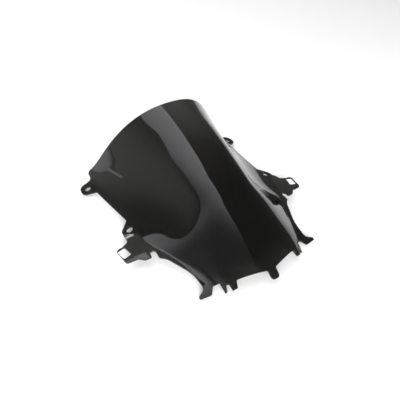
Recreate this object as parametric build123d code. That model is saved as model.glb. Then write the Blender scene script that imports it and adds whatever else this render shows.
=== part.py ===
from build123d import *
import math
import os

import numpy as np

# One thermoformed acrylic sheet: the windscreen of a sport motorcycle.
# Millimetres. +X points to the motorcycle's nose, +Y to the rider's left, +Z up.
# The origin is on the sheet's outer face, at the root of the nose tongue, on the centre plane.

SHEET = 3.0                 # acrylic thickness, measured inwards from the outer face
FILM = 0.25                 # thickness of the blank decal

HOLE_DIAMETER = 10.0        # four screw holes, for well nuts
REAR_HOLE = (-305.8, 145.6)     # plan places, x and y, of the holes on the left
MIDDLE_HOLE = (-171, 129.6)

CLIP_SLOT_AT = (-133.3, 155)
CLIP_SLOT = (17.5, 12.5)
CLIP_SLOT_CORNER = 2.5
CLIP_SLOT_TURN = -12        # degrees about +Z; its front end leans to the centre plane

DECAL_AT = (-273.5, -104.7)     # on the right rear panel
DECAL = (39, 2.2)               # in plan; the panel's slope makes it 4 mm wide
DECAL_TURN = 14

# Cross sections of the outer face, one column per station along X.
# Each half section is a Bezier curve from the crown line (y = 0) out to the foot line.
STATION_X = [20, -30, -60, -90, -120, -150, -190, -240, -300, -350]
CROWN_Z = [-14, 20, 40, 58, 74.5, 88.5, 103.5, 118, 132.5, 143.5]
FOOT_Y = [52, 73, 86, 99, 111.5, 123, 131, 136, 142, 147]
FOOT_Z = [-25, -8.5, -4, -2, -1, -1.5, -5, -9.5, -12.5, -15]
FOOT_ANGLE = [40, 46, 42.5, 40, 27, 18, 17.2, 20.5, 15, 12]   # degrees below horizontal
CROWN_PULL = [0.31, 0.39, 0.47, 0.47, 0.57, 0.58, 0.57, 0.56, 0.67, 0.75]  # of FOOT_Y
FOOT_PULL = [0.15, 0.31, 0.48, 0.75, 0.81, 0.74, 0.63, 0.45, 0.31, 0.29]   # of FOOT_Y

# The flat side flange, which the dome meets in a soft crease.
FLANGE_AT = (-116, 118, -2.2)       # a point of it
FLANGE_SLOPE = (-0.05, -0.064)      # rise per mm along X and outwards
FLANGE_BOW = -0.00075               # downward bow along X
FLANGE_DROP = (-30, 6, -0.3)        # it dips ahead of this X, eased over 6 mm, at this slope
FLANGE_END = (-159, 3, 0.5)         # it falls away under the dome behind this X
CREASE_EASE = 0.25

# The rear edge over the rider's view, in plan: x = REAR[0] + REAR[1] f**2 + REAR[2] f**4
# with f = y / REAR_CORNER_Y.
REAR_EDGE = (-269.5, -74, 4)
REAR_CORNER_Y = 131.8

# The rest of the left half of the outline, in plan, from nose to tail: x, y, corner radius.
OUTLINE = [
    (11, 6.5, 4.5),         # nose tongue
    (-0.8, 6.7, 2),
    (-12.2, 50, 1),         # wide prong
    (-4.4, 52.7, 1.2),
    (-6, 59.6, 1.2),
    (-14.2, 60.4, 1),
    (-15.6, 63.8, 1),       # thin prong
    (-9.4, 65.6, 0.8),
    (-9.9, 68.4, 0.8),
    (-23, 69.4, 1.5),
    (-25.7, 77.8, 2),       # corner tab
    (-17.2, 84.6, 1.5),
    (-19.2, 101.3, 1.2),
    (-23.2, 101, 1.5),
    (-28.3, 89.8, 7),
    (-54, 91.2, 70),        # side edge
    (-93, 109.5, 25),
    (-100, 117.4, 1.5),
    (-115.3, 116.8, 3.7),   # notch, open to the front
    (-115.3, 124.6, 3.7),
    (-106, 125.4, 1.5),
    (-107, 135.6, 4),
    (-113.8, 142.2, 5),     # side tab
    (-115.2, 159.8, 5),
    (-143.6, 163.2, 4.5),
    (-144.2, 153, 5),
    (-149, 142.6, 5),
    (-175.4, 140.6, 6),     # lobe of the middle screw hole
    (-190.4, 125.8, 5),
    (-288, 137.2, 5),       # rear tab
    (-297.4, 157.2, 11.5),
    (-320, 156.6, 11.5),
    (-321, 133.4, 4),
]
REAR_CORNER_RADIUS = 2.5


# Where the sheet is sampled: X of the sections, and the places along each half section.
SECTION_X = [18, 8, -4, -16, -28, -40, -55, -70, -85, -100, -115, -130, -143, -152, -159,
             -166, -175, -190, -210, -235, -260, -285, -310, -335, -354]
SECTION_T = [0.1, 0.2, 0.3, 0.4, 0.5, 0.6, 0.7, 0.8, 0.9, 0.95, 1, 1.04, 1.08, 1.14,
             1.22, 1.32, 1.45, 1.6]
CUT_BELOW = 60              # the outline is cut from this far below the origin
CUT_HEIGHT = 260


def along(values, x):
    """Natural cubic spline through the station values, evaluated at x."""
    order = np.argsort(STATION_X)
    xs = np.array(STATION_X, float)[order]
    ys = np.array(values, float)[order]
    gap = np.diff(xs)
    last = len(xs) - 1
    matrix = np.eye(last + 1)
    right = np.zeros(last + 1)
    for i in range(1, last):
        matrix[i, i - 1:i + 2] = gap[i - 1], 2 * (gap[i - 1] + gap[i]), gap[i]
        right[i] = 6 * ((ys[i + 1] - ys[i]) / gap[i] - (ys[i] - ys[i - 1]) / gap[i - 1])
    bend = np.linalg.solve(matrix, right)
    k = np.clip(np.searchsorted(xs, x) - 1, 0, last - 1)
    before, after, h = x - xs[k], xs[k + 1] - x, gap[k]
    cubic = (bend[k] * after**3 + bend[k + 1] * before**3) / (6 * h)
    return cubic + (ys[k] / h - bend[k] * h / 6) * after + (ys[k + 1] / h - bend[k + 1] * h / 6) * before


def eased(value, width):
    """Zero for negative values, the value itself for positive ones, eased over width."""
    return width * np.logaddexp(0, value / width)


def dome(x, t):
    """Distance out and height of the dome, at x and at t from 0 (crown) to 1 (foot) and beyond."""
    foot_y, foot_z = along(FOOT_Y, x), along(FOOT_Z, x)
    crown_z, angle = along(CROWN_Z, x), np.radians(along(FOOT_ANGLE, x))
    crown_arm = along(CROWN_PULL, x) * foot_y
    foot_arm = along(FOOT_PULL, x) * foot_y
    s = np.minimum(t, 1)
    u = 1 - s
    knee_y = foot_y - foot_arm * np.cos(angle)
    knee_z = foot_z + foot_arm * np.sin(angle)
    beyond = (t - s) * foot_y
    out = 3 * u * u * s * crown_arm + 3 * u * s * s * knee_y + s**3 * foot_y + beyond
    rise = u**3 * crown_z + 3 * u * u * s * crown_z + 3 * u * s * s * knee_z + s**3 * foot_z
    return out, rise - beyond * np.tan(angle)


def flange(x, out):
    """Height of the flange."""
    ahead = x - FLANGE_AT[0]
    level = FLANGE_AT[2] + FLANGE_SLOPE[0] * ahead + FLANGE_SLOPE[1] * (out - FLANGE_AT[1])
    dip = FLANGE_DROP[2] * eased(x - FLANGE_DROP[0], FLANGE_DROP[1])
    fall = FLANGE_END[2] * eased(FLANGE_END[0] - x, FLANGE_END[1])
    return level + FLANGE_BOW * ahead**2 + dip - fall


def section(x, t):
    """Distance out and height of the whole outer face: the higher of dome and flange, blended."""
    out, high = dome(x, t)
    other = flange(x, out)
    half = (high - other) / 2
    return out, (high + other) / 2 + np.sqrt(half**2 + CREASE_EASE**2)


def height(x, out):
    """Height of the outer face above the plan point (x, out), by bisection along the section."""
    low, top = np.zeros_like(out, float), np.full_like(out, 2, float)
    for _ in range(40):
        t = (low + top) / 2
        inside = section(x, t)[0] < out
        low, top = np.where(inside, t, low), np.where(inside, top, t)
    return section(x, (low + top) / 2)[1]


def rounded(corners):
    """Edges of the open line through the corners (x, y, radius), with rounded corners."""
    points = [Vector(x, y) for x, y, _ in corners]
    edges = []
    start = points[0]
    for before, corner, after, spec in zip(points, points[1:], points[2:], corners[1:]):
        back, on = (before - corner).normalized(), (after - corner).normalized()
        half = math.radians(back.get_angle(on)) / 2
        middle = (back + on).normalized()
        reach = spec[2] / math.tan(half)
        arc_start, arc_end = corner + back * reach, corner + on * reach
        arc_middle = corner + middle * (spec[2] / math.sin(half) - spec[2])
        edges.append(Edge.make_line(start, arc_start))
        edges.append(Edge.make_three_point_arc(arc_start, arc_middle, arc_end))
        start = arc_end
    edges.append(Edge.make_line(start, points[-1]))
    return edges


def slopes(x, out):
    """Rise per mm of the outer face along X and outwards."""
    step = 0.5
    near = np.maximum(out - step, 0)
    along_x = (height(x + step, out) - height(x - step, out)) / (2 * step)
    outwards = (height(x, out + step) - height(x, near)) / (out + step - near)
    return along_x, np.where(out > 0, outwards, 0)


def layer(low, high):
    """Solid between two levels of the sheet, low and high being distances above its outer face."""
    t = np.array([0] + SECTION_T, float)
    places = np.concatenate([-t[:0:-1], t])
    places = (places - places[0]) / (places[-1] - places[0])
    wires = []
    for x in SECTION_X:
        out, z = section(float(x), t)
        along_x, outwards = slopes(float(x), out)
        steep = np.sqrt(1 + along_x**2 + outwards**2)
        lines = []
        for level in (z + high * steep, z + low * steep):
            right_half = [Vector(x, -o, h) for o, h in zip(out[:0:-1], level[:0:-1])]
            left_half = [Vector(x, o, h) for o, h in zip(out, level)]
            lines.append(right_half + left_half)
        top, bottom = lines
        wires.append(Wire([
            Edge.make_spline(top, parameters=list(places)),
            Edge.make_line(top[-1], bottom[-1]),
            Edge.make_spline(bottom, parameters=list(places)),
            Edge.make_line(bottom[0], top[0]),
        ]))
    return Solid.make_loft(wires)


def cutter(face):
    """Upright prism over a plan face, tall enough for the whole sheet."""
    return extrude(Pos(0, 0, -CUT_BELOW) * face, amount=CUT_HEIGHT, dir=(0, 0, 1))


def rear_edge(f):
    return Vector(REAR_EDGE[0] + REAR_EDGE[1] * f**2 + REAR_EDGE[2] * f**4, REAR_CORNER_Y * f)


def outline():
    """The sheet's outline in plan, mirrored about the centre plane."""
    corner = rear_edge(1)
    inwards = (rear_edge(0.95) - corner).normalized()
    joint = corner + inwards * (4 * REAR_CORNER_RADIUS)
    nose = (OUTLINE[0][0], 0, 0)
    tail = [(corner.X, corner.Y, REAR_CORNER_RADIUS), (joint.X, joint.Y, 0)]
    half = rounded([nose] + OUTLINE + tail)
    rear = [joint] + [rear_edge(f) for f in (0.8, 0.6, 0.4, 0.2, 0)]
    half.append(Edge.make_spline(rear, tangents=[inwards, Vector(0, -1)]))
    other = [edge.mirror(Plane.XZ) for edge in half]
    return Face(Wire.combine(half + other, tol=0.001)[0])


def drill(place, side):
    """Cylinder along the sheet's own normal, for a screw hole at the plan place."""
    x, y = place
    z = float(height(float(x), np.array([y], float))[0])
    along_x, outwards = [float(slope[0]) for slope in slopes(float(x), np.array([y], float))]
    plane = Plane(origin=(x, side * y, z), z_dir=(-along_x, -side * outwards, 1))
    return plane * Cylinder(HOLE_DIAMETER / 2, 6 * SHEET)


def screen_shell():
    sheet = layer(-SHEET, 0) & cutter(outline())
    for side in (1, -1):
        x, y = CLIP_SLOT_AT
        slot = RectangleRounded(*CLIP_SLOT, CLIP_SLOT_CORNER)
        sheet -= cutter(Pos(x, side * y) * Rot(0, 0, side * CLIP_SLOT_TURN) * slot)
        sheet -= drill(REAR_HOLE, side)
        sheet -= drill(MIDDLE_HOLE, side)
    return sheet


def blank_decal():
    x, y = DECAL_AT
    strip = RectangleRounded(*DECAL, DECAL[1] / 2.1)
    return layer(0, FILM) & cutter(Pos(x, y) * Rot(0, 0, DECAL_TURN) * strip)


os.makedirs("parts", exist_ok=True)
export_step(screen_shell(), "parts/screen_shell.step")
export_step(blank_decal(), "parts/blank_decal.step")
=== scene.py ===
import math

import bpy
import numpy as np
from mathutils import Matrix, Vector
from mathutils.geometry import delaunay_2d_cdt


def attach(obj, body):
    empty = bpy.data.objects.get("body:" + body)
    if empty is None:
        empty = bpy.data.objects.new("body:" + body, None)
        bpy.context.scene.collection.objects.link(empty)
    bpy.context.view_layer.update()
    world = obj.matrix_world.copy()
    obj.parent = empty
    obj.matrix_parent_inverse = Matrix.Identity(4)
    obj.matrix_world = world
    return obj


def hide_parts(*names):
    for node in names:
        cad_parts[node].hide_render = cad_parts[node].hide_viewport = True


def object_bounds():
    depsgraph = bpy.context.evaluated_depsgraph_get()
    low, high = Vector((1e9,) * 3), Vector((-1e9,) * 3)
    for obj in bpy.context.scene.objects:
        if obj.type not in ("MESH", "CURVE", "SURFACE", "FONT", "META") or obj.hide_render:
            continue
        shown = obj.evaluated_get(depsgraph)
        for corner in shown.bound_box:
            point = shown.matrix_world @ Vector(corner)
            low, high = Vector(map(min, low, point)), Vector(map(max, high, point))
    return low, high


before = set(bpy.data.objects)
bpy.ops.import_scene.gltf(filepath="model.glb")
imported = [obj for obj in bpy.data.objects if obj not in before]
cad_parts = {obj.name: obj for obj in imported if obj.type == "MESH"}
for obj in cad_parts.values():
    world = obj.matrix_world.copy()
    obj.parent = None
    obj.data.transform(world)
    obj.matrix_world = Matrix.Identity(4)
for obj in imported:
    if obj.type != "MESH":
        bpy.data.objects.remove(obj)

cad_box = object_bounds()

# ---------------------------------------------------------------------------
# The outer face of the sheet, with the CAD part's own formula, but for one thing: the crease
# softens towards the nose here, and stays crisp in the CAD part. Millimetres.
# +X to the nose, +Y to the rider's left, +Z up.
# ---------------------------------------------------------------------------
MM = 0.001
SHEET = 3.0
FILM = 0.25
EDGE_ROUND = 0.45           # the flame-polished rounding of the sheet's edges
EDGE_ANGLES = (0, 22.5, 45, 67.5, 90)   # the steps of a rounding, from the face to the wall
GRID = 2.2                  # spacing of the mesh over the faces
FINE_GRID = 0.8             # and along the crease where dome and flange meet
CREASE_BAND = 1.1           # the crease's reach, as the height between the two
EDGE_STEP = 1.3             # spacing of the mesh along the edges
CORNER_STEP = EDGE_STEP * 0.6           # and around their corners
GRID_MARGIN, FINE_MARGIN = 0.55, 0.8    # how far a grid keeps off the edges, in its spacings
SAME_POINT = 1e-6           # points of an outline closer than this are one point
MESH_TOLERANCE = 1e-7       # and the same for the triangulation
SLOPE_STEP = 0.4            # slopes are measured this far to either side of a point
SECTION_END = 2.0           # where the search along a section ends; its foot is at 1
BISECTIONS = 36

STATION_X = [20, -30, -60, -90, -120, -150, -190, -240, -300, -350]
CROWN_Z = [-14, 20, 40, 58, 74.5, 88.5, 103.5, 118, 132.5, 143.5]
FOOT_Y = [52, 73, 86, 99, 111.5, 123, 131, 136, 142, 147]
FOOT_Z = [-25, -8.5, -4, -2, -1, -1.5, -5, -9.5, -12.5, -15]
FOOT_ANGLE = [40, 46, 42.5, 40, 27, 18, 17.2, 20.5, 15, 12]
CROWN_PULL = [0.31, 0.39, 0.47, 0.47, 0.57, 0.58, 0.57, 0.56, 0.67, 0.75]
FOOT_PULL = [0.15, 0.31, 0.48, 0.75, 0.81, 0.74, 0.63, 0.45, 0.31, 0.29]

FLANGE_AT = (-116, 118, -2.2)
FLANGE_SLOPE = (-0.05, -0.064)
FLANGE_BOW = -0.00075
FLANGE_DROP = (-30, 6, -0.3)
FLANGE_END = (-159, 3, 0.5)
CREASE_EASE = 0.25
SOFT_FROM, SOFT_TO = -85, -35   # where the crease softens, and how far
SOFT_EASE = 1.8

HOLE_DIAMETER = 10.0
HOLE_SIDES = 48
HOLES = [(-305.8, 145.6), (-171, 129.6)]
CLIP_SLOT_AT = (-133.3, 155)
CLIP_SLOT = (17.5, 12.5)
CLIP_SLOT_CORNER = 2.5
CLIP_SLOT_TURN = -12
DECAL_AT = (-273.5, -104.7)
DECAL = (39, 2.2)
DECAL_CORNER = DECAL[1] / 2.1
DECAL_TURN = 14
FILM_BOTTOM = 0.02          # a hair over the sheet, so that the two faces stay apart
FILM_GRID = 0.7
FILM_ROUND = 0.1

REAR_EDGE = (-269.5, -74, 4)
REAR_CORNER_Y = 131.8
REAR_CORNER_RADIUS = 2.5
REAR_CORNER_RUN = 4         # the straight run beside the corner, in corner radii
REAR_CORNER_AIM = 0.95      # the point of the rear edge that this run aims at
REAR_EDGE_STEPS = 60
OUTLINE = [
    (11, 6.5, 4.5),         # nose tongue
    (-0.8, 6.7, 2),
    (-12.2, 50, 1),         # wide prong
    (-4.4, 52.7, 1.2),
    (-6, 59.6, 1.2),
    (-14.2, 60.4, 1),
    (-15.6, 63.8, 1),       # thin prong
    (-9.4, 65.6, 0.8),
    (-9.9, 68.4, 0.8),
    (-23, 69.4, 1.5),
    (-25.7, 77.8, 2),       # corner tab
    (-17.2, 84.6, 1.5),
    (-19.2, 101.3, 1.2),
    (-23.2, 101, 1.5),
    (-28.3, 89.8, 7),
    (-54, 91.2, 70),        # side edge
    (-93, 109.5, 25),
    (-100, 117.4, 1.5),
    (-115.3, 116.8, 3.7),   # notch, open to the front
    (-115.3, 124.6, 3.7),
    (-106, 125.4, 1.5),
    (-107, 135.6, 4),
    (-113.8, 142.2, 5),     # side tab
    (-115.2, 159.8, 5),
    (-143.6, 163.2, 4.5),
    (-144.2, 153, 5),
    (-149, 142.6, 5),
    (-175.4, 140.6, 6),     # lobe of the middle screw hole
    (-190.4, 125.8, 5),
    (-288, 137.2, 5),       # rear tab
    (-297.4, 157.2, 11.5),
    (-320, 156.6, 11.5),
    (-321, 133.4, 4),
]


def along(values, x):
    """Natural cubic spline through the station values, evaluated at the array x."""
    order = np.argsort(STATION_X)
    xs = np.array(STATION_X, float)[order]
    ys = np.array(values, float)[order]
    gap = np.diff(xs)
    last = len(xs) - 1
    matrix = np.eye(last + 1)
    right = np.zeros(last + 1)
    for i in range(1, last):
        matrix[i, i - 1:i + 2] = gap[i - 1], 2 * (gap[i - 1] + gap[i]), gap[i]
        right[i] = 6 * ((ys[i + 1] - ys[i]) / gap[i] - (ys[i] - ys[i - 1]) / gap[i - 1])
    bend = np.linalg.solve(matrix, right)
    k = np.clip(np.searchsorted(xs, x) - 1, 0, last - 1)
    before, after, h = x - xs[k], xs[k + 1] - x, gap[k]
    cubic = (bend[k] * after**3 + bend[k + 1] * before**3) / (6 * h)
    return cubic + (ys[k] / h - bend[k] * h / 6) * after + (ys[k + 1] / h - bend[k + 1] * h / 6) * before


def eased(value, width):
    return width * np.logaddexp(0, value / width)


def section(x, t):
    """At x and at t along the half section: distance out, dome height, flange height."""
    foot_y, foot_z = along(FOOT_Y, x), along(FOOT_Z, x)
    crown_z, angle = along(CROWN_Z, x), np.radians(along(FOOT_ANGLE, x))
    crown_arm = along(CROWN_PULL, x) * foot_y
    foot_arm = along(FOOT_PULL, x) * foot_y
    s = np.minimum(t, 1)
    u = 1 - s
    knee_y = foot_y - foot_arm * np.cos(angle)
    knee_z = foot_z + foot_arm * np.sin(angle)
    beyond = (t - s) * foot_y
    out = 3 * u * u * s * crown_arm + 3 * u * s * s * knee_y + s**3 * foot_y + beyond
    rise = u**3 * crown_z + 3 * u * u * s * crown_z + 3 * u * s * s * knee_z + s**3 * foot_z
    dome = rise - beyond * np.tan(angle)
    ahead = x - FLANGE_AT[0]
    flange = FLANGE_AT[2] + FLANGE_SLOPE[0] * ahead + FLANGE_SLOPE[1] * (out - FLANGE_AT[1])
    flange = flange + FLANGE_BOW * ahead**2 + FLANGE_DROP[2] * eased(x - FLANGE_DROP[0], FLANGE_DROP[1])
    flange = flange - FLANGE_END[2] * eased(FLANGE_END[0] - x, FLANGE_END[1])
    return out, dome, flange


def dome_and_flange(x, y):
    """Both heights above plan points, by bisection along the sections."""
    out = np.abs(y)
    low, top = np.zeros_like(out), np.full_like(out, SECTION_END)
    for _ in range(BISECTIONS):
        t = (low + top) / 2
        inside = section(x, t)[0] < out
        low, top = np.where(inside, t, low), np.where(inside, top, t)
    return section(x, (low + top) / 2)[1:]


def height(x, y):
    """Height of the outer face: whichever of the two is higher, eased into each other."""
    dome, flange = dome_and_flange(x, y)
    ahead = np.clip((x - SOFT_FROM) / (SOFT_TO - SOFT_FROM), 0, 1)
    ease = CREASE_EASE + (SOFT_EASE - CREASE_EASE) * ahead**2 * (3 - 2 * ahead)
    return (dome + flange) / 2 + np.sqrt(((dome - flange) / 2) ** 2 + ease**2)


def on_sheet(plan):
    """Points of the outer face above the plan points, and its normals there."""
    x, y = plan[:, 0], plan[:, 1]
    slope_x = (height(x + SLOPE_STEP, y) - height(x - SLOPE_STEP, y)) / (2 * SLOPE_STEP)
    slope_y = (height(x, y + SLOPE_STEP) - height(x, y - SLOPE_STEP)) / (2 * SLOPE_STEP)
    normals = np.stack([-slope_x, -slope_y, np.ones_like(x)], axis=1)
    normals /= np.linalg.norm(normals, axis=1)[:, None]
    return np.stack([x, y, height(x, y)], axis=1), normals


# ---------------------------------------------------------------------------
# Plan outlines as closed loops of points.
# ---------------------------------------------------------------------------
def rounded(corners):
    """Points of the open line through the corners (x, y, radius), with rounded corners."""
    points = [np.array(corner[:2], float) for corner in corners]
    line = [points[0]]
    for before, corner, after, spec in zip(points, points[1:], points[2:], corners[1:]):
        back = (before - corner) / np.linalg.norm(before - corner)
        on = (after - corner) / np.linalg.norm(after - corner)
        half = math.acos(np.clip(back @ on, -1, 1)) / 2
        middle = (back + on) / np.linalg.norm(back + on)
        reach = spec[2] / math.tan(half)
        centre = corner + middle * spec[2] / math.sin(half)
        turn = math.pi - 2 * half
        side = np.sign(back[0] * on[1] - back[1] * on[0])
        first = corner + back * reach - centre
        steps = max(3, int(turn * spec[2] / CORNER_STEP))
        for i in range(steps + 1):
            a = -side * turn * i / steps
            spin = np.array([[math.cos(a), -math.sin(a)], [math.sin(a), math.cos(a)]])
            line.append(centre + spin @ first)
    line.append(points[-1])
    return line


def even(line):
    """The line with more points on its long runs, so that no step is over EDGE_STEP."""
    done = [line[0]]
    for a, b in zip(line, line[1:]):
        gap = np.linalg.norm(b - a)
        if gap < SAME_POINT:
            continue
        count = max(1, math.ceil(gap / EDGE_STEP))
        done += [a + (b - a) * i / count for i in range(1, count + 1)]
    return done


def rear_edge(f):
    return np.array([REAR_EDGE[0] + REAR_EDGE[1] * f**2 + REAR_EDGE[2] * f**4, REAR_CORNER_Y * f])


def sheet_outline():
    corner = rear_edge(1)
    inwards = rear_edge(REAR_CORNER_AIM) - corner
    joint = corner + inwards / np.linalg.norm(inwards) * REAR_CORNER_RUN * REAR_CORNER_RADIUS
    tail = [(*corner, REAR_CORNER_RADIUS), (*joint, 0)]
    half = rounded([(OUTLINE[0][0], 0, 0)] + OUTLINE + tail)
    reach = joint[1] / REAR_CORNER_Y
    half += [rear_edge(f) for f in np.linspace(reach, 0, REAR_EDGE_STEPS)[1:]]
    half = even(half)
    other = [p * (1, -1) for p in half[-2:0:-1]]
    return np.array(half + other)


def turned(points, at, degrees):
    a = math.radians(degrees)
    spin = np.array([[math.cos(a), -math.sin(a)], [math.sin(a), math.cos(a)]])
    return points @ spin.T + at


def rounded_rectangle(size, radius, at, degrees):
    w, h = size[0] / 2, size[1] / 2
    corners = [(w, h, radius), (-w, h, radius), (-w, -h, radius), (w, -h, radius)]
    line = rounded([(w, 0, 0)] + corners + [(w, 0, 0)])
    return turned(np.array(even(line))[:-1], at, degrees)


def screw_hole(at, side):
    """Round hole square to the sheet: in plan it is an ellipse, narrower down the slope."""
    centre = np.array([[at[0], side * at[1]]])
    normal = on_sheet(centre)[1][0]
    across = np.cross(normal, (0.0, 0.0, 1.0))
    across /= np.linalg.norm(across)
    down = np.cross(normal, across)
    a = np.linspace(0, 2 * math.pi, HOLE_SIDES, endpoint=False)[:, None]
    ring = (across * np.cos(a) + down * np.sin(a)) * HOLE_DIAMETER / 2
    return centre + ring[:, :2]


# ---------------------------------------------------------------------------
# One mesh builder for the sheet and for the decal on it.
# ---------------------------------------------------------------------------
def inside(points, loop):
    x, y = points[:, 0], points[:, 1]
    hit = np.zeros(len(points), bool)
    for (x0, y0), (x1, y1) in zip(loop, np.roll(loop, -1, axis=0)):
        if y0 == y1:
            continue
        crosses = (y0 > y) != (y1 > y)
        hit ^= crosses & (x < (x1 - x0) * (y - y0) / (y1 - y0) + x0)
    return hit


def clearance(points, loop):
    nearest = np.full(len(points), np.inf)
    for p in loop:
        nearest = np.minimum(nearest, np.hypot(points[:, 0] - p[0], points[:, 1] - p[1]))
    return nearest


def anticlockwise(loop):
    x, y = loop[:, 0], loop[:, 1]
    area = np.sum(x * np.roll(y, -1) - y * np.roll(x, -1))
    return loop if area > 0 else loop[::-1]


def within(faces, rim_edges, rim_count):
    """The faces reached from inner points without crossing an edge of the rim."""
    walls = {frozenset(edge) for edge in rim_edges}
    beside = {}
    for i, face in enumerate(faces):
        for edge in zip(face, face[1:] + face[:1]):
            beside.setdefault(frozenset(edge), []).append(i)
    reached = {i for i, face in enumerate(faces) if max(face) >= rim_count}
    queue = list(reached)
    while queue:
        face = faces[queue.pop()]
        for edge in zip(face, face[1:] + face[:1]):
            if frozenset(edge) in walls:
                continue
            fresh = [i for i in beside[frozenset(edge)] if i not in reached]
            reached.update(fresh)
            queue += fresh
    return [faces[i] for i in sorted(reached)]


def along_crease(cells):
    """Which of the plan points lie close to the crease."""
    dome, flange = dome_and_flange(cells[:, 0], cells[:, 1])
    return np.abs(dome - flange) < CREASE_BAND


def free_cells(loops, spacing, margin, crease_only=False):
    """Grid points inside the first loop and outside the others, and clear of them all."""
    low, high = loops[0].min(axis=0), loops[0].max(axis=0)
    gx, gy = np.meshgrid(np.arange(low[0], high[0], spacing), np.arange(low[1], high[1], spacing))
    cells = np.stack([gx.ravel(), gy.ravel()], axis=1)
    if crease_only:
        cells = cells[along_crease(cells)]
    keep = inside(cells, loops[0])
    for loop in loops[1:]:
        keep &= ~inside(cells, loop)
    cells = cells[keep]
    for loop in loops:
        cells = cells[clearance(cells, loop) > margin]
    return cells


def plate(name, outline, holes, top, bottom, grid, edge_round):
    """A plate that follows the sheet, from level bottom to level top over its outer face.
    Its walls stand square to the sheet and its edges are rounded."""
    loops = [anticlockwise(outline)] + [anticlockwise(hole)[::-1] for hole in holes]
    cells = free_cells(loops, grid, grid * GRID_MARGIN)
    if grid > FINE_GRID:
        fine = free_cells(loops, FINE_GRID, FINE_GRID * FINE_MARGIN, crease_only=True)
        cells = np.concatenate([cells[~along_crease(cells)], fine])

    rim = np.concatenate(loops)
    plan = np.concatenate([rim, cells])
    edges = []
    start = 0
    for loop in loops:
        edges += [(start + i, start + (i + 1) % len(loop)) for i in range(len(loop))]
        start += len(loop)
    _, _, faces, *_ = delaunay_2d_cdt([Vector(p) for p in plan], edges, [], 0, MESH_TOLERANCE)
    faces = within([tuple(face) for face in faces], edges, len(rim))

    points, normals = on_sheet(plan)
    rim_n = normals[:len(rim)]
    outward = np.zeros_like(rim_n)
    start = 0
    for loop in loops:
        ring = points[start:start + len(loop)]
        run = np.roll(ring, -1, axis=0) - np.roll(ring, 1, axis=0)
        run /= np.linalg.norm(run, axis=1)[:, None]
        outward[start:start + len(loop)] = np.cross(run, rim_n[start:start + len(loop)])
        start += len(loop)
    outward /= np.linalg.norm(outward, axis=1)[:, None]

    r = edge_round
    core_top = points[:len(rim)] + rim_n * (top - r) - outward * r
    core_bottom = points[:len(rim)] + rim_n * (bottom + r) - outward * r
    rings, ring_normals = [], []
    angles = np.radians(EDGE_ANGLES)
    for angle in angles:
        lean = rim_n * math.cos(angle) + outward * math.sin(angle)
        rings.append(core_top + lean * r)
        ring_normals.append(lean)
    for angle in angles[::-1]:
        lean = outward * math.sin(angle) - rim_n * math.cos(angle)
        rings.append(core_bottom + lean * r)
        ring_normals.append(lean)

    inner = len(plan) - len(rim)
    count = len(rim)
    verts = np.concatenate(rings + [points[count:] + normals[count:] * top,
                                    points[count:] + normals[count:] * bottom])
    vert_normals = np.concatenate(ring_normals + [normals[count:], -normals[count:]])
    last = len(rings) - 1

    def top_index(i):
        return i if i < count else len(rings) * count + i - count

    def bottom_index(i):
        return last * count + i if i < count else len(rings) * count + inner + i - count

    polygons = [tuple(top_index(i) for i in face) for face in faces]
    polygons += [tuple(bottom_index(i) for i in face[::-1]) for face in faces]
    for k in range(last):
        for a, b in edges:
            polygons.append((k * count + a, (k + 1) * count + a, (k + 1) * count + b, k * count + b))

    mesh = bpy.data.meshes.new(name)
    mesh.from_pydata((verts * MM).tolist(), [], polygons)
    mesh.validate()
    mesh.polygons.foreach_set("use_smooth", [True] * len(mesh.polygons))
    mesh.normals_split_custom_set_from_vertices(vert_normals.tolist())
    piece = bpy.data.objects.new(name, mesh)
    bpy.context.scene.collection.objects.link(piece)
    return piece


# ---------------------------------------------------------------------------
# Materials
# ---------------------------------------------------------------------------
class Graph:
    """Short names for making the nodes of one node tree."""

    def __init__(self, tree):
        self.nodes, self.links = tree.nodes, tree.links

    def feed(self, socket, value):
        if isinstance(value, (int, float)):
            socket.default_value = value
        else:
            self.links.new(value, socket)

    def math(self, operation, a, b=0.0):
        node = self.nodes.new("ShaderNodeMath")
        node.operation = operation
        self.feed(node.inputs[0], a)
        self.feed(node.inputs[1], b)
        return node.outputs[0]

    def fade(self, value, start, end, low=0.0, high=1.0):
        """Smooth step of the value: low at start, high at end."""
        node = self.nodes.new("ShaderNodeMapRange")
        node.interpolation_type = "SMOOTHSTEP"
        self.feed(node.inputs["Value"], value)
        node.inputs["From Min"].default_value = start
        node.inputs["From Max"].default_value = end
        node.inputs["To Min"].default_value = low
        node.inputs["To Max"].default_value = high
        return node.outputs["Result"]

    def place(self, output):
        where = self.nodes.new("ShaderNodeTexCoord")
        split = self.nodes.new("ShaderNodeSeparateXYZ")
        self.links.new(where.outputs[output], split.inputs[0])
        return split.outputs

    def noise(self, place, look):
        """Noise fixed to the piece; look is its scale and its detail."""
        node = self.nodes.new("ShaderNodeTexNoise")
        node.inputs["Scale"].default_value, node.inputs["Detail"].default_value = look
        self.links.new(place.outputs["Object"], node.inputs["Vector"])
        return node.outputs["Fac"]

    def ramp(self, value, span, levels):
        """Straight ramp of the value over the span, between two levels."""
        node = self.nodes.new("ShaderNodeMapRange")
        node.inputs["From Min"].default_value, node.inputs["From Max"].default_value = span
        node.inputs["To Min"].default_value, node.inputs["To Max"].default_value = levels
        self.links.new(value, node.inputs["Value"])
        return node.outputs["Result"]

    def bump(self, value, look, under=None):
        """Relief from the value; look is its strength and its depth in metres."""
        node = self.nodes.new("ShaderNodeBump")
        node.inputs["Strength"].default_value, node.inputs["Distance"].default_value = look
        self.links.new(value, node.inputs["Height"])
        if under is not None:
            self.links.new(under, node.inputs["Normal"])
        return node.outputs["Normal"]


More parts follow.
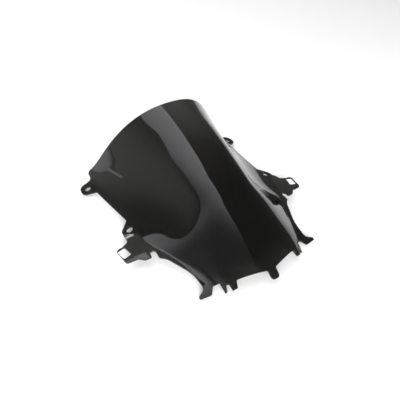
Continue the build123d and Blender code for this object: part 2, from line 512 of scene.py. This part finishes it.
ACRYLIC_COLOR = (0.018, 0.018, 0.0145)
ACRYLIC_IOR = 1.49
ACRYLIC_GLOSS = (0.012, 0.05)           # roughness, from the clear spots to the hazy ones
HAZE, HAZE_SPAN = (60, 4), (0.35, 0.75)
WAVES, WAVE_BUMP = (9, 1), (0.03, 0.002)
DUST, DUST_BUMP = (900, 2), (0.02, 0.0001)
FILM_COLOR = (0.018, 0.018, 0.020)
FILM_WORN_COLOR = (0.035, 0.034, 0.038)
FILM_GLOSS = (0.28, 0.45)
WEAR, WEAR_SPAN, WEAR_BUMP = (350, 5), (0.3, 0.7), (0.15, 0.0001)
FLOOR_COLOR = (0.86, 0.86, 0.86)
FLOOR_ROUGHNESS = 0.7


def new_material(name):
    material = bpy.data.materials.new(name)
    material.use_nodes = True
    graph = Graph(material.node_tree)
    return material, graph, graph.nodes["Principled BSDF"]


def smoke_acrylic():
    """Dark smoke acrylic that lets light through: glossy, with faint haze, forming waves and dust."""
    material, graph, shader = new_material("smoke_acrylic")
    place = graph.nodes.new("ShaderNodeTexCoord")
    shader.inputs["Base Color"].default_value = (*ACRYLIC_COLOR, 1)
    shader.inputs["Transmission Weight"].default_value = 1.0
    shader.inputs["IOR"].default_value = ACRYLIC_IOR
    gloss = graph.ramp(graph.noise(place, HAZE), HAZE_SPAN, ACRYLIC_GLOSS)
    graph.links.new(gloss, shader.inputs["Roughness"])
    forming = graph.bump(graph.noise(place, WAVES), WAVE_BUMP)
    dust = graph.bump(graph.noise(place, DUST), DUST_BUMP, forming)
    graph.links.new(dust, shader.inputs["Normal"])
    return material


def decal_film():
    """Plain grey vinyl film, a little worn."""
    material, graph, shader = new_material("decal_film")
    place = graph.nodes.new("ShaderNodeTexCoord")
    wear = graph.noise(place, WEAR)
    mix = graph.nodes.new("ShaderNodeMix")
    mix.data_type = "RGBA"
    factor, color_a, color_b = mix.inputs[0], mix.inputs[6], mix.inputs[7]
    color_a.default_value = (*FILM_COLOR, 1)
    color_b.default_value = (*FILM_WORN_COLOR, 1)
    graph.links.new(wear, factor)
    graph.links.new(mix.outputs[2], shader.inputs["Base Color"])
    graph.links.new(graph.ramp(wear, WEAR_SPAN, FILM_GLOSS), shader.inputs["Roughness"])
    graph.links.new(graph.bump(wear, WEAR_BUMP), shader.inputs["Normal"])
    return material


def plain(name, color, roughness):
    """A matt paint with no sheen."""
    material, _, shader = new_material(name)
    shader.inputs["Base Color"].default_value = (*color, 1)
    shader.inputs["Roughness"].default_value = roughness
    shader.inputs["Specular IOR Level"].default_value = 0.0
    return material


# ---------------------------------------------------------------------------
# Pieces
# ---------------------------------------------------------------------------
def build_shell():
    holes = []
    for side in (1, -1):
        holes += [screw_hole(at, side) for at in HOLES]
        at = (CLIP_SLOT_AT[0], side * CLIP_SLOT_AT[1])
        holes.append(rounded_rectangle(CLIP_SLOT, CLIP_SLOT_CORNER, at, side * CLIP_SLOT_TURN))
    shell = plate("smoked_sheet", sheet_outline(), holes, 0, -SHEET, GRID, EDGE_ROUND)
    shell.data.materials.append(smoke_acrylic())
    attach(shell, "root")
    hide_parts("screen_shell")


def build_decal():
    strip = rounded_rectangle(DECAL, DECAL_CORNER, DECAL_AT, DECAL_TURN)
    film = plate("decal_strip", strip, [], FILM, FILM_BOTTOM, FILM_GRID, FILM_ROUND)
    film.data.materials.append(decal_film())
    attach(film, "root")
    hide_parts("blank_decal")


# ---------------------------------------------------------------------------
# Stage, lights and camera
# ---------------------------------------------------------------------------
FLOOR_SIZE = 60.0               # metres, like the places and sizes of the lights and camera below


def build_stage():
    low = cad_box[0]
    bpy.ops.mesh.primitive_plane_add(size=FLOOR_SIZE, location=(0, 0, low[2]))
    floor = bpy.context.object
    floor.name = "floor"
    floor.data.materials.append(plain("pale_floor", FLOOR_COLOR, FLOOR_ROUGHNESS))


SOFTBOX = [
    (-1.12, -2.4),
    (-1.12, 0.13),
    (0.0, 0.15),
    (0.28, 0.33),
    (1.4, 0.36),
    (1.4, -3.0),
    (-0.3, -2.4),
]
SOFTBOX_HEIGHT = 1.5
DIFFUSER_COLOR = (0.98, 0.98, 1.03)
DIFFUSER_LEVEL = 0.32           # radiance where no lamp is behind it
LAMP_LEVEL = (2.35, 0.75)       # radiance over the middle, and its fall per metre to the side
LAMP_EDGE = (-0.35, 1.0)        # it fades out towards the nose
LAMP_SLANT = 0.33               # how far its edge moves along X per metre of Y
SPILL_EDGE = (1.6, 3.8)         # a second glow in the front right corner
SPILL_SLANT = 0.8
SPILL_LEVEL = 1.3


def build_softbox():
    """One big diffuser over the camera's side, hottest over the tail."""
    mesh = bpy.data.meshes.new("softbox")
    mesh.from_pydata([(x, y, SOFTBOX_HEIGHT) for x, y in SOFTBOX], [], [range(len(SOFTBOX))])
    panel = bpy.data.objects.new("softbox", mesh)
    bpy.context.scene.collection.objects.link(panel)
    material = bpy.data.materials.new("diffuser")
    material.use_nodes = True
    graph = Graph(material.node_tree)
    graph.nodes.remove(graph.nodes["Principled BSDF"])
    x, y, _ = graph.place("Object")
    peak = graph.math("ADD", graph.math("MULTIPLY", y, LAMP_LEVEL[1]), LAMP_LEVEL[0])
    slant = graph.math("SUBTRACT", x, graph.math("MULTIPLY", y, LAMP_SLANT))
    lamp = graph.math("MULTIPLY", graph.math("MAXIMUM", peak, 0.0), graph.fade(slant, *LAMP_EDGE, 1.0, 0.0))
    cornerwards = graph.math("SUBTRACT", x, graph.math("MULTIPLY", y, SPILL_SLANT))
    spill = graph.fade(cornerwards, *SPILL_EDGE, 0.0, SPILL_LEVEL)
    level = graph.math("ADD", graph.math("ADD", lamp, DIFFUSER_LEVEL), spill)
    glow = graph.nodes.new("ShaderNodeEmission")
    glow.inputs["Color"].default_value = (*DIFFUSER_COLOR, 1)
    graph.links.new(level, glow.inputs["Strength"])
    graph.links.new(glow.outputs[0], graph.nodes["Material Output"].inputs["Surface"])
    mesh.materials.append(material)


ROOM_LEVEL = 0.17
# The glow by direction: each is a fade's start and end, and its levels if they aren't 0 and 1.
LOW_OVER_HEIGHT = (0.1, 0.6, 0.55, 0.24)
LOW_TAILWARDS = (-0.25, 0.3)
LOW_LEFTWARDS = (0.0, 0.5, 1.0, 0.0)
REAR_TAILWARDS = (0.0, 0.6, 0.0, 0.72)
REAR_FROM_RIGHT = (-0.4, 0.05)
REAR_LEFTWARDS = (0.4, 0.9, 1.0, 0.2)
REAR_OVER_HEIGHT = (0.0, 0.5)


def build_world():
    """A dark room with a white sweep that glows low down and behind the tail."""
    world = bpy.data.worlds.new("studio")
    bpy.context.scene.world = world
    world.use_nodes = True
    graph = Graph(world.node_tree)
    x, y, z = graph.place("Generated")
    tailwards = graph.math("MULTIPLY", x, -1.0)
    low = graph.math("MULTIPLY", graph.fade(z, *LOW_OVER_HEIGHT), graph.fade(tailwards, *LOW_TAILWARDS))
    low = graph.math("MULTIPLY", low, graph.fade(y, *LOW_LEFTWARDS))
    rear = graph.math("MULTIPLY", graph.fade(tailwards, *REAR_TAILWARDS), graph.fade(y, *REAR_FROM_RIGHT))
    rear = graph.math("MULTIPLY", rear, graph.fade(y, *REAR_LEFTWARDS))
    rear = graph.math("MULTIPLY", rear, graph.fade(z, *REAR_OVER_HEIGHT))
    level = graph.math("MAXIMUM", graph.math("MAXIMUM", low, rear), ROOM_LEVEL)
    background = graph.nodes["Background"]
    background.inputs["Color"].default_value = (1, 1, 1, 1)
    graph.links.new(level, background.inputs["Strength"])


FILLS = {                       # place, size, power: they whiten the floor
    "rear_fill": ((-3.1, 0.9, 1.4), (2.4, 1.2), 50),
    "front_fill": ((3.0, -1.6, 1.9), (3.2, 1.4), 270),
}


def build_lights():
    # Standard, so that the pale floor isn't compressed to grey
    bpy.context.scene.view_settings.view_transform = "Standard"
    build_world()
    build_softbox()
    for name, (at, size, power) in FILLS.items():
        light = bpy.data.lights.new(name, "AREA")
        light.shape = "RECTANGLE"
        light.size, light.size_y = size
        light.energy = power
        lamp = bpy.data.objects.new(name, light)
        bpy.context.scene.collection.objects.link(lamp)
        lamp.location = at
        lamp.rotation_euler = Vector(at).to_track_quat("Z", "Y").to_euler()


CAMERA_AT = (0.2291, -0.2668, 0.4145)
CAMERA_LOOK = (-0.6312, 0.4117, -0.6573)
CAMERA_RIGHT = (0.5359, 0.8441, 0.0140)
LENS = 35.55                    # millimetres
SENSOR_WIDTH = 36               # millimetres
VIEW_RANGE = 50


def build_camera():
    camera = bpy.data.cameras.new("camera")
    camera.lens = LENS
    camera.sensor_width = SENSOR_WIDTH
    camera.clip_end = VIEW_RANGE
    eye = bpy.data.objects.new("camera", camera)
    bpy.context.scene.collection.objects.link(eye)
    look, right = Vector(CAMERA_LOOK).normalized(), Vector(CAMERA_RIGHT).normalized()
    up = right.cross(look).normalized()
    right = look.cross(up)
    turn = Matrix((right, up, -look)).transposed()
    eye.matrix_world = Matrix.Translation(CAMERA_AT) @ turn.to_4x4()
    bpy.context.scene.camera = eye


build_shell()
build_decal()
build_stage()
build_lights()
build_camera()

bpy.context.view_layer.update()
